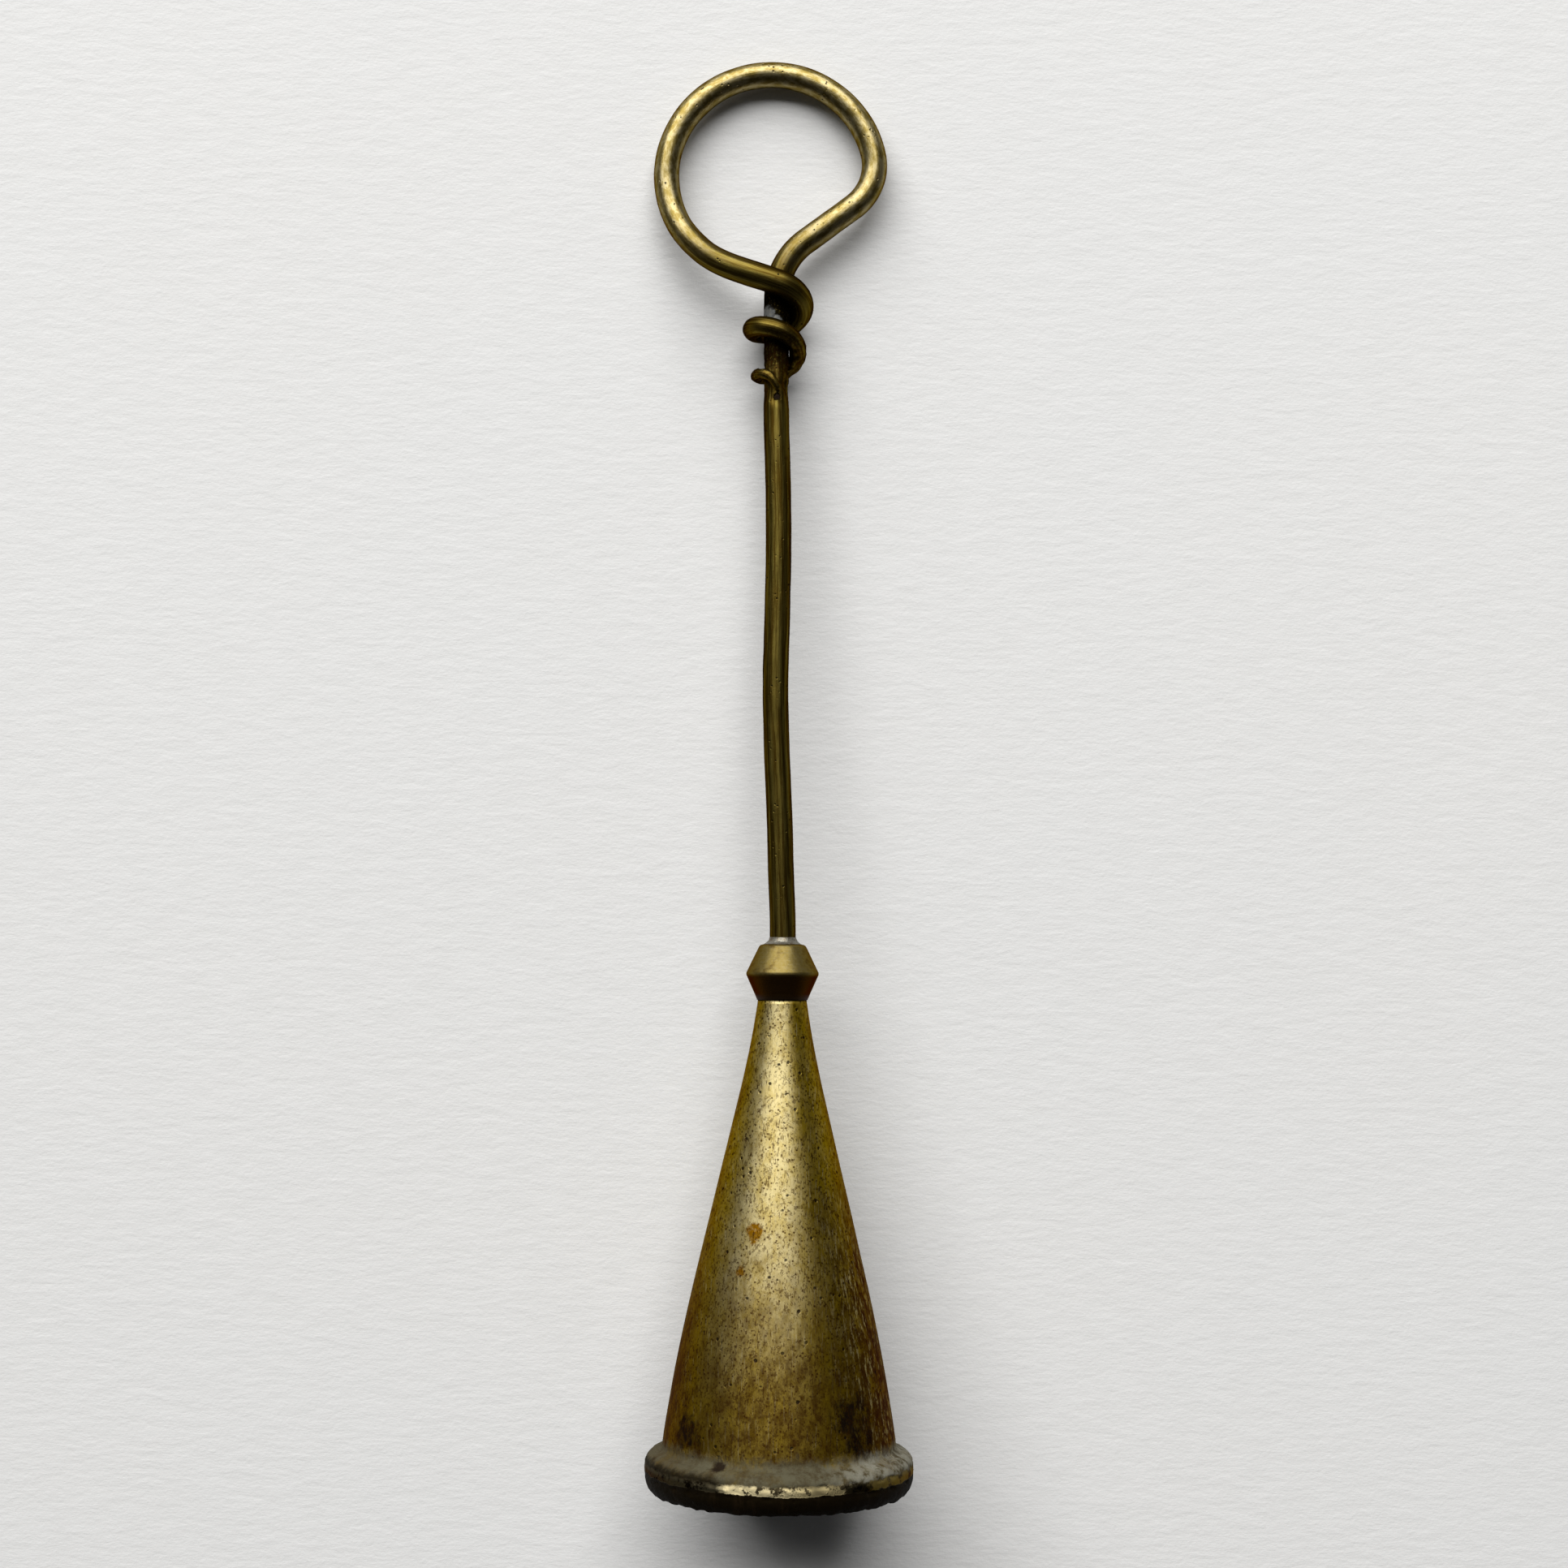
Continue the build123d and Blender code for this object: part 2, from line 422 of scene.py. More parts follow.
def bell_finish():
    """Satin brass, brushed along its slope, browning towards a sooty, crusted mouth."""
    f = Finish("bell_patina", Specular_IOR_Level=0.1, Specular_Tint=GRAZING_BRASS)
    lay = f.lay()
    across = f.split(f.place, "X")
    fine = f.noise(f.place, 0.45, 4.0, 0.7)
    cloud = f.noise(f.place, 6.0, 5.0, 0.6)
    drift = f.plus(cloud, -0.5)
    patchy = f.noise(f.grow(f.place, (1.0, 1.0, 0.6)), 1.9, 9.0, 0.80)
    brushed = f.streaks(lay, 22.0, 0.16, 4.0, 0.7)
    hairline = f.streaks(lay, 90.0, 0.35, 2.0, 0.6)

    # Rubbed pale patches over the older gold, with brushing along the slope
    rubbed = f.times(f.ease(patchy, 0.40, 0.58), 0.75)
    rubbed = f.plus(rubbed, f.times(f.ease(brushed, 0.35, 0.7), 0.25))
    kept_gold = f.ease(f.plus(f.height, f.times(drift, 14.0)), 28.0, 9.0)
    # Painted highlight: a band a little left of the middle, front and back, is painted much paler
    # where the light's broad reflection lies, and elsewhere the rubbed patches are kept faint
    facing = f.split(lay, "X")
    paler_zone = f.times(f.ease(facing, -0.85, -0.5), f.ease(facing, 0.50, 0.10))
    rubbed = f.level(paler_zone, f.times(rubbed, 0.22), f.plus(0.45, f.times(rubbed, 0.55)))
    rubbed = f.times(rubbed, f.level(kept_gold, 1.0, 0.18))
    colour = f.tone(rubbed, OLD_BRASS, PALE_BRASS)
    colour = f.tone(f.times(f.ease(cloud, 0.5, 0.72), 0.55), colour, OLIVE_BRASS)
    for lean, threshold in SCRATCHES:
        slanted = f.slant(lean, (5.0, 1.2, 0.18))
        scratch = f.ease(f.noise(slanted, 1.0, 1.0, 0.5), threshold, threshold + 0.03)
        colour = f.tone(f.times(scratch, 0.5), colour, PALE_BRASS)

    # Tarnish deepens down the skirt and gathers in patches there
    low = f.ease(f.plus(f.height, f.times(drift, 22.0)), 40.0, 8.0)
    mottled = f.ease(f.streaks(lay, 9.0, 0.4, 6.0, 0.75), 0.35, 0.65)
    tarnish = f.times(low, f.plus(0.45, f.times(mottled, 0.55)))
    colour = f.tone(f.times(tarnish, 0.94), colour, BROWN_TARNISH)
    smeared = f.ease(f.streaks(lay, 14.0, 0.5, 6.0, 0.75), 0.38, 0.60)
    right = f.ease(f.plus(across, f.times(f.height, 0.25)), 9.0, 15.0)
    right = f.times(right, f.ease(f.height, 40.0, 26.0))
    left = f.ease(f.plus(across, f.times(f.height, -0.25)), -14.0, -16.5)
    left = f.times(left, f.ease(f.height, 27.0, 20.0))
    colour = f.tone(f.times(f.most(right, left), smeared, 0.93), colour, BROWN_TARNISH)
    strokes = f.ease(f.streaks(lay, 32.0, 0.55, 3.0, 0.7), 0.54, 0.64)
    colour = f.tone(f.times(right, strokes, 0.75), colour, PALE_BRASS)
    patches = f.times(f.spots(BLACK_PATCHES, 0.8, 2.2), 0.85, f.plus(0.4, smeared))
    colour = f.tone(patches, colour, BLACK_TARNISH)
    stain = f.spot((-3.1, -8.4, 31.0), 1.35, 1.0, 1.0)
    stain = f.most(stain, f.spot((-4.8, -8.8, 26.5), 0.7, 1.0, 0.6))
    stain = f.times(stain, f.level(f.ease(fine, 0.35, 0.5), 0.7, 1.0))
    colour = f.tone(stain, colour, ORANGE_STAIN)

    # Fine dark specks and pin pits
    squat = f.grow(f.place, (1.0, 1.0, 0.7))
    specks = f.times(f.ease(f.noise(squat, 0.34, 2.0, 0.75), 0.555, 0.60), 0.7)
    dots = f.ease(f.cells(f.place, 0.55), 0.30, 0.16)
    dots = f.times(dots, f.ease(f.noise(f.place, 1.5, 3.0, 0.7), 0.40, 0.50))
    scattered = f.ease(f.noise(f.place, 4.0, 3.0, 0.6), 0.30, 0.46)
    specks = f.times(f.most(specks, dots), scattered)
    mottle = f.ease(f.noise(squat, 0.9, 6.0, 0.8), 0.50, 0.62)
    colour = f.tone(f.times(mottle, 0.42), colour, OLIVE_BRASS)
    colour = f.tone(f.times(specks, 0.88), colour, BROWN_TARNISH)
    dashes = f.ease(f.noise(f.slant(0.25, (5.0, 2.0, 0.7)), 1.0, 2.0, 0.6), 0.635, 0.67)
    colour = f.tone(f.times(dashes, 0.75), colour, BROWN_TARNISH)
    pin = f.ease(f.cells(f.place, 1.4), 0.19, 0.09)
    pin = f.times(pin, f.ease(f.noise(f.place, 3.5, 2.0), 0.46, 0.54))
    pin = f.most(pin, f.spots(PITS, 0.6, 0.5))
    colour = f.tone(f.times(pin, 0.9), colour, BLACK_TARNISH)

    # Grey residue, packed in the cove and over the bead's shoulder, feathering up the skirt
    wisps = f.streaks(lay, 18.0, 0.6, 5.0, 0.75)
    ripple = f.times(f.noise(f.place, 1.6, 5.0, 0.75), 2.2)
    feather = f.plus(f.height, ripple, f.times(wisps, 3.0), -2.6)
    residue = f.times(f.ease(feather, 6.6, 5.0), f.ease(f.height, 2.9, 3.5))
    residue = f.times(residue, f.plus(0.62, f.times(f.ease(cloud, 0.38, 0.55), 0.38)))
    grains = f.noise(f.place, 0.32, 3.0, 0.75)
    dusty = f.noise(f.place, 1.6, 6.0, 0.7)
    lumps = f.plus(f.times(dusty, 0.6), f.times(wisps, 0.25), f.times(grains, 0.15))
    ash = f.tone(f.ease(lumps, 0.38, 0.56), BROWN_ASH, ASH_RESIDUE)
    rightward = f.ease(across, 4.0, 11.0)
    ash = f.tone(f.times(rightward, f.ease(dusty, 0.38, 0.56)), ash, PALE_ASH)
    leftward = f.ease(across, -7.0, -13.0)
    ash = f.tone(f.times(leftward, 0.55), ash, BROWN_ASH)
    colour = f.tone(residue, colour, ash)
    notch = f.spot((-6.9, -12.7, 5.1), 1.0, 0.5, 0.5)
    colour = f.tone(f.times(notch, 0.95), colour, BLACK_TARNISH)

    # The bead's narrow face: chipped back to bright metal, and caked black at the left. The bare
    # metal carries a painted highlight, brightest left of the middle and fading to duller metal
    # towards the right
    ragged = f.times(f.plus(f.noise(f.place, 1.2, 4.0, 0.7), -0.5), 0.9)
    crust = f.ease(f.plus(f.height, f.times(ragged, 1.6)), 4.5, 3.7)
    crust = f.times(f.ease(across, -4.5, -8.5), crust)
    colour = f.tone(f.times(crust, 0.85), colour, SOOT_BLACK)
    torn = f.plus(f.height, ragged)
    face = f.times(f.ease(torn, 2.0, 2.3), f.ease(torn, 3.6, 3.2))
    chips = f.ease(f.noise(f.place, 1.3, 5.0, 0.75), 0.42, 0.50)
    caked = f.ease(f.plus(across, f.times(ragged, 3.0)), -5.6, -7.2)
    caked = f.most(caked, f.spot((9.2, -13.1, 2.6), 2.3, 0.5, 0.8))
    bare = f.times(face, chips, f.plus(1.0, f.times(caked, -0.95)))
    colour = f.tone(face, colour, BROWN_ASH)
    colour = f.tone(f.times(face, caked), colour, SOOT_BLACK)
    dull_and_highlight_fade = f.times(f.ease(across, -2.0, 4.0), 0.65)
    dull_and_highlight_fade = f.plus(dull_and_highlight_fade, f.times(f.ease(across, 8.5, 10.5), 0.30))
    colour = f.tone(bare, colour, f.tone(dull_and_highlight_fade, BARE_BRASS_HIGHLIGHT, DULLED_BRASS))

    # Soot under the bead and inside
    soot = f.add("ShaderNodeAttribute", {}, "Fac", attribute_name="soot")
    tide = f.times(f.plus(f.noise(f.place, 2.2, 3.0, 0.6), -0.5), 1.3)
    tide = f.plus(tide, f.times(f.ease(across, 0.0, -6.0), 0.35))
    tide = f.times(tide, f.ease(soot, 0.0, 0.1))
    sooty = f.ease(f.plus(soot, f.times(f.plus(fine, -0.5), 0.5), tide), 0.35, 0.65)
    streaked = f.ease(f.streaks(lay, 7.0, 0.1, 4.0, 0.7), 0.5, 0.75)
    colour = f.tone(sooty, colour, f.tone(streaked, SOOT_BLACK, BROWN_SOOT))

    dull = f.most(residue, f.times(sooty, 0.9))
    metal = f.level(dull, f.level(f.times(tarnish, 0.5), 1.0, 0.75), 0.12)
    metal = f.level(sooty, metal, 0.0)
    rough = f.plus(0.37, f.times(brushed, 0.16), f.times(tarnish, 0.12))
    rough = f.level(dull, rough, 0.85)
    relief = f.plus(f.times(hairline, 0.012), f.times(fine, 0.012), f.times(pin, -0.05))
    relief = f.plus(relief, f.times(residue, grains, 0.06), f.times(bare, -0.03))
    relief = f.plus(relief, f.times(sooty, fine, 0.05))
    return f.wear(colour, rough, relief, metal)


def collar_finish():
    """Turned brass, cleaner than the bell, with tool lines round it."""
    f = Finish("collar_patina", Specular_Tint=GRAZING_BRASS)
    lines = f.streaks(f.lay(), 0.6, 9.0, 3.0, 0.7)
    cloud = f.noise(f.place, 1.6, 5.0, 0.65)
    fine = f.noise(f.place, 0.3, 4.0, 0.7)
    rubbed = f.times(f.ease(lines, 0.35, 0.7), 0.2)
    rubbed = f.plus(rubbed, f.times(f.ease(fine, 0.35, 0.65), 0.35))
    colour = f.tone(rubbed, OLD_BRASS, PALE_BRASS)
    colour = f.tone(0.68, colour, COLLAR_BRASS)
    # Painted shade: the lower cone, below the equator, faces the mouth and away from the light,
    # and is painted nearly dark
    equator = BELL_TOP + EQUATOR_HEIGHT
    under = f.ease(f.height, equator + 0.1, equator - 0.5)
    colour = f.tone(f.times(under, 0.92), colour, COLLAR_PAINTED_SHADE)
    colour = f.tone(f.times(f.ease(cloud, 0.52, 0.72), 0.6), colour, BROWN_TARNISH)
    foot = f.ease(f.height, BELL_TOP + 0.9, BELL_TOP + 0.1)
    colour = f.tone(f.times(foot, 0.8), colour, BLACK_TARNISH)
    rough = f.plus(0.36, f.times(cloud, 0.2))
    relief = f.plus(f.times(lines, 0.02), f.times(fine, 0.015))
    return f.wear(colour, rough, relief, f.level(foot, 1.0, 0.7))


def wire_finish():
    """Drawn brass wire: olive stem with long draw lines, brighter rubbed ring, pitted wrap."""
    f = Finish("wire_patina", Specular_Tint=GRAZING_WIRE)
    lay = f.lay()
    drawn = f.streaks(lay, 3.2, 0.10, 4.0, 0.7)
    scuffs = f.noise(f.grow(lay, (1.0, 1.0, 0.5)), 0.8, 5.0, 0.75)
    fine = f.noise(f.place, 0.28, 4.0, 0.75)
    pits = f.ease(f.cells(f.place, 0.8), 0.20, 0.08)
    pits = f.times(pits, f.ease(f.noise(f.place, 2.0, 2.0), 0.45, 0.6))

    # Fingers have rubbed the ring, from the neck up
    paler_zone = f.ease(f.height, 146.0, 156.0)
    dark = f.tone(f.ease(drawn, 0.38, 0.66), DARK_WIRE, OLIVE_WIRE)
    rubbed = f.tone(f.ease(scuffs, 0.38, 0.70), RUBBED_WIRE, BRIGHT_WIRE)
    colour = f.tone(paler_zone, dark, rubbed)
    colour = f.tone(f.times(f.ease(scuffs, 0.55, 0.75), 0.7), colour, BROWN_TARNISH)

    # Painted shade: the stem inside the wrap, between its turns, is painted near black where the
    # turns shade it
    inside = f.times(f.ease(f.split(lay, "Z"), 122.0, 112.0), f.ease(f.height, 133.8, 136.5))
    inside = f.times(inside, f.ease(f.height, 147.6, 145.8), f.ease(fine, 0.30, 0.5))
    colour = f.tone(f.times(inside, 0.96), colour, SOOT_BLACK)

    # Brown stretch and old flux below the wrap, and a chalky mark on the stem inside it
    flux = f.times(f.ease(f.height, 130.0, 134.0), f.ease(f.height, 141.0, 138.0))
    flux = f.times(flux, f.ease(fine, 0.42, 0.6), 0.75)
    colour = f.tone(flux, colour, BROWN_TARNISH)
    chalk = f.spot((-2.6, -1.2, 141.8), 1.4, 0.6, 0.6)
    chalk = f.most(chalk, f.spot((-1.4, -1.6, 141.0), 0.9, 0.6, 0.5))
    colour = f.tone(f.times(chalk, 0.45), colour, CHALK)
    hole = f.spot((-1.15, -1.6, 131.5), 0.55, 0.5, 0.4)
    colour = f.tone(hole, colour, BLACK_TARNISH)
    colour = f.tone(f.times(pits, 0.85), colour, BLACK_TARNISH)

    rivet = f.ease(f.height, COLLAR_TOP - 1.0, COLLAR_TOP - 3.0)
    colour = f.tone(rivet, colour, SOOT_BLACK)
    # The rivet's soot and the painted shade inside the wrap are made rougher too
    soot_and_wrap_shade = f.most(rivet, inside)
    rough = f.plus(f.level(paler_zone, 0.34, 0.31), f.times(scuffs, 0.10), f.times(soot_and_wrap_shade, 0.3))
    relief = f.plus(f.times(drawn, 0.02), f.times(scuffs, 0.010), f.times(fine, 0.006))
    relief = f.plus(relief, f.times(pits, -0.05), f.times(hole, -0.3))
    metal = f.level(f.most(f.times(chalk, 0.7), rivet), 1.0, 0.3)
    return f.wear(colour, rough, relief, metal)


def solder_finish():
    """Dull silvery solder with brown flux in its hollows."""
    f = Finish("solder_grey", Metallic=1.0)
    cloud = f.noise(f.place, 0.7, 4.0, 0.7)
    fine = f.noise(f.place, 0.2, 3.0, 0.7)
    colour = f.tone(f.ease(cloud, 0.45, 0.7), DULL_SILVER, FLUX_BROWN)
    rough = f.plus(0.35, f.times(cloud, 0.25))
    return f.wear(colour, rough, f.plus(f.times(cloud, 0.06), f.times(fine, 0.03)))


def burr_finish():
    """Hammered washer in the cavity, brown with soot."""
    f = Finish("burr_soot")
    cloud = f.noise(f.place, 1.1, 4.0, 0.7)
    colour = f.tone(f.ease(cloud, 0.5, 0.7), SOOT_BLACK, RUSTY_SOOT)
    rough = f.plus(0.6, f.times(cloud, 0.25))
    return f.wear(colour, rough, f.times(cloud, 0.1), f.level(cloud, 0.2, 0.7))


def paper_finish():
    """Plain pale paper, its fibres just showing from the front; from behind it isn't there."""
    f = Finish("pale_paper")
    fibre = f.noise(f.grow(f.place, (0.30, 1.0, 1.0)), 1.1, 4.0, 0.65)
    tooth = f.noise(f.place, 0.5, 3.0, 0.6)
    broad = f.noise(f.place, 60.0, 2.0, 0.5)
    colour = f.tone(f.ease(fibre, 0.3, 0.7), PAPER_HOLLOW, PAPER_FIBRE)
    colour = f.tone(f.times(broad, 0.5), colour, PAPER_COOL)
    rough = f.plus(0.8, f.times(fibre, 0.15))
    material = f.wear(colour, rough, f.plus(f.times(fibre, 0.07), f.times(tooth, 0.03)))
    behind = f.tree.nodes.new("ShaderNodeNewGeometry").outputs["Backfacing"]
    clear = f.add("ShaderNodeBsdfTransparent", {})
    front = f.shader.outputs[0]
    seen = f.add("ShaderNodeMixShader", {0: behind, 1: front, 2: clear})
    f.tree.links.new(seen, f.tree.nodes["Material Output"].inputs["Surface"])
    return material


# ---------------------------------------------------------------- bell

def bell_outline():
    """The bell's closed outline, from the crown down the outside, round the bead and back up.

    The last number of each stretch is the spacing of its points. The number of points on the
    outside is given too.
    """
    crown = Vector((CROWN_RADIUS, BELL_TOP))
    low = Vector(FLANK_LOW)
    high = Vector(FLANK_HIGH)
    skirt = Vector((SKIRT_RADIUS, RIM_HEIGHT))
    slope = (low - high).normalized()
    up, _ = arc_to(high, -slope, crown, 0.5)
    points = [crown] + up[-2::-1] + [high] + run(high, low, 0.5)
    points += arc_to(low, slope, skirt, 0.45)[0]
    cove, heading = arc(skirt, Vector((0, -1)), COVE_RADIUS, COVE_TURN, 0.12)
    points += cove
    shoulder = Vector((RIM_RADIUS, FACE_HIGH))
    points += arc_to(cove[-1], heading, shoulder, 0.12)[0]
    face_end = Vector((RIM_RADIUS, FACE_LOW))
    points += run(shoulder, face_end, 0.12)
    foot = Vector((RIM_RADIUS - UNDERCUT, 0))
    points += arc_to(face_end, Vector((0, -1)), foot, 0.14)[0]
    outside = len(points)
    mouth = Vector((SKIRT_RADIUS - WALL + MOUTH_FLARE, 0))
    points += run(foot, mouth, 0.2)
    inner_skirt = Vector((SKIRT_RADIUS - WALL, RIM_HEIGHT))
    points += run(mouth, inner_skirt, 0.6)
    inner_low = Vector((FLANK_LOW[0] - WALL, FLANK_LOW[1]))
    rise = (high - low).normalized()
    back, _ = arc_to(inner_low, -rise, inner_skirt, 1.0)
    points += back[-2::-1] + [inner_low]
    taper = (low.x - high.x) / (high.y - low.y)
    ceiling = Vector((high.x + taper * (high.y - CAVITY_TOP) - WALL, CAVITY_TOP))
    points += run(inner_low, ceiling, 1.0)
    points += run(ceiling, Vector((BORE, CAVITY_TOP)), 0.5)
    points += run(Vector((BORE, CAVITY_TOP)), Vector((BORE, BELL_TOP)), 2.0)
    points += run(Vector((BORE, BELL_TOP)), crown, 0.6)[:-1]
    return points, outside


def make_bell():
    outline, outside = bell_outline()
    chips_apart = Vector((5, 3, 9))  # keeps the chips' pattern clear of the crust's
    nicks_apart = Vector((0, 0, 40))
    crust_top = 7.0
    crust_fade = 2.0
    high_spread = 0.28  # how far chips reach from the upper and lower edge of the bead's face
    low_spread = 0.25
    ragged_height = 0.9

    def worn(place, row):
        """Crust and chips on the bead, a ragged mouth, and the flank's slight unevenness."""
        if row >= outside + MOUTH_ROWS or place.z > BELL_TOP - 0.2:
            return place
        radial = Vector((place.x, place.y, 0)).normalized()
        depth = 0.02 + 0.02 * speckle(place, 9.0, 2)
        if row < outside:
            rim = min(1.0, max(0.0, (crust_top - place.z) / crust_fade))
            crust = 0.05 + 0.06 * speckle(place, 0.9, 4)
            high_edge = exp(-((place.z - FACE_HIGH) / high_spread) ** 2)
            low_edge = exp(-((place.z - FACE_LOW) / low_spread) ** 2)
            chip = max(0.0, speckle(place + chips_apart, 1.6) - 0.12) * 0.55
            depth += rim * max(0.0, crust) + (high_edge + low_edge) * min(0.32, chip + 0.04)
        worn_place = place - radial * max(0.0, depth)
        if place.z < ragged_height:
            nick = max(0.0, 0.10 + 0.16 * speckle(place + nicks_apart, 1.1, 4))
            worn_place.z += nick * (1 - place.z / ragged_height)
        return worn_place

    def soot(row):
        """1 inside and on the mouth, fading out at the soot line outside."""
        if row >= outside:
            return 1.0
        return min(1.0, max(0.0, (SOOT_LINE - outline[row].y) / 0.5))

    bell = turned("bell_shell", outline, BELL_STEPS, worn, soot)
    bell.data.materials.append(bell_finish())
    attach(bell, "root")
    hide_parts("bell")


# ---------------------------------------------------------------- collar, burr and solder

def make_collar():
    foot = Vector((FOOT_RADIUS, BELL_TOP))
    equator = Vector((EQUATOR_RADIUS, BELL_TOP + EQUATOR_HEIGHT))
    top = Vector((TOP_RADIUS, COLLAR_TOP))
    land = Vector((0, EQUATOR_LAND))
    points = [foot] + run(foot, equator - land, 0.12)
    points += run(equator - land, equator + land * 0.6, 0.06)
    shoulder = top + (equator - top).normalized() * 0.4
    points += run(equator + land * 0.6, shoulder, 0.12)
    brink = Vector((TOP_RADIUS - TOP_EDGE, COLLAR_TOP))
    points += arc_to(shoulder, (top - equator).normalized(), brink, 0.08)[0]
    bore = Vector((BORE, COLLAR_TOP))
    points += run(points[-1], bore, 0.25)
    points += run(bore, Vector((BORE, BELL_TOP)), 1.0)
    points += run(Vector((BORE, BELL_TOP)), foot, 0.4)[:-1]

    def worn(place, row):
        """Slight unevenness everywhere but in the bore and on the foot."""
        if hypot(place.x, place.y) < BORE + 0.4 or place.z < BELL_TOP + 0.02:
            return place
        radial = Vector((place.x, place.y, 0)).normalized()
        depth = 0.015 + 0.02 * speckle(place, 2.0)
        if place.z > COLLAR_TOP - 0.05:
            return place - Vector((0, 0, max(0.0, depth)))
        return place - radial * max(0.0, depth)

    collar = turned("collar_turned", points[::-1], COLLAR_STEPS, worn)
    collar.data.materials.append(collar_finish())
    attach(collar, "root")
    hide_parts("collar")


def make_solder():
    """A fillet of solder, lumpy, run into the corner between the stem and the collar's top."""
    inner = WIRE_RADIUS + SOLDER_GAP
    low = Vector((inner + SOLDER_SPREAD, COLLAR_TOP + SOLDER_FOOT))
    high = Vector((inner + 0.04, COLLAR_TOP + SOLDER_RISE))
    hollow, _ = arc_to(low, Vector((-0.92, 0.39)).normalized(), high, 0.08)
    inner_high = Vector((inner, COLLAR_TOP + 0.8))
    inner_low = Vector((inner, COLLAR_TOP + SOLDER_FOOT))
    points = [low] + hollow + run(high, inner_high, 0.05)
    points += run(inner_high, inner_low, 0.2) + run(inner_low, low, 0.15)[:-1]

    def worn(place, row):
        """Lumps, on the hollow face alone."""
        away = hypot(place.x, place.y) - inner
        if away < 0.03 or place.z < COLLAR_TOP + 0.03:
            return place
        radial = Vector((place.x, place.y, 0)).normalized()
        depth = min(away * 0.7, max(0.0, 0.05 + 0.12 * speckle(place, 0.9)))
        return place - radial * depth

    solder = turned("solder_run", points, SMALL_STEPS, worn)
    solder.data.materials.append(solder_finish())
    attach(solder, "root")
    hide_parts("solder_fillet")


def make_burr():
    """The washer under the rivet, its edge rounded over by hammering."""
    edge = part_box("rivet_burr")[1][0] / MM
    corners = (
        Vector((BORE, CAVITY_TOP)),
        Vector((edge - 0.25, CAVITY_TOP)),
        Vector((edge, CAVITY_TOP - 0.25)),
        Vector((edge, BURR_UNDER + 0.3)),
        Vector((edge - 0.3, BURR_UNDER)),
        Vector((BORE, BURR_UNDER)),
    )
    points = []
    for start, end in zip(corners, corners[1:] + corners[:1]):
        points += run(start, end, 0.12)

    def worn(place, row):
        """Dents in the edge and the underside, clear of the rivet and of the ceiling."""
        if hypot(place.x, place.y) < RIVET_RADIUS or place.z > CAVITY_TOP - 0.02:
            return place
        inward = Vector((place.x, place.y, 0)).normalized()
        dent = max(0.0, 0.05 + 0.08 * speckle(place, 1.0))
        lifted = place - inward * dent
        if place.z < BURR_UNDER + 0.1:
            lifted.z += dent
        return lifted

    burr = turned("rivet_washer", points, SMALL_STEPS, worn)
    burr.data.materials.append(burr_finish())
    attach(burr, "root")
    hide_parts("rivet_burr")


# ---------------------------------------------------------------- wire handle

def slope_at(before, here, after):
    """Direction of a smooth line at the middle one of three stations."""
    in_length = (here - before).length
    out_length = (after - here).length
    if in_length < 1e-6 or out_length < 1e-6:
        return (after - before).normalized()
    arriving = (here - before) / in_length
    leaving = (after - here) / out_length
    return (arriving * out_length + leaving * in_length) / (in_length + out_length)


def through(stations, spacing):
    """Points on a smooth line through stations, each a vector with the wire's radius last."""
    points = [stations[0]]
    for index in range(len(stations) - 1):
        first = stations[index]
        second = stations[index + 1]
        before = stations[max(index - 1, 0)]
        after = stations[min(index + 2, len(stations) - 1)]
        span = (second - first).length
        lead = slope_at(before, first, second) * span
        leave = slope_at(first, second, after) * span
        steps = max(1, round(span / spacing))
        for step in range(1, steps + 1):
            t = step / steps
            # Shares of the two stations and of the line's slopes at them
            a = 2 * t ** 3 - 3 * t ** 2 + 1
            b = t ** 3 - 2 * t ** 2 + t
            c = -2 * t ** 3 + 3 * t ** 2
            d = t ** 3 - t ** 2
            points.append(first * a + lead * b + second * c + leave * d)
    return points


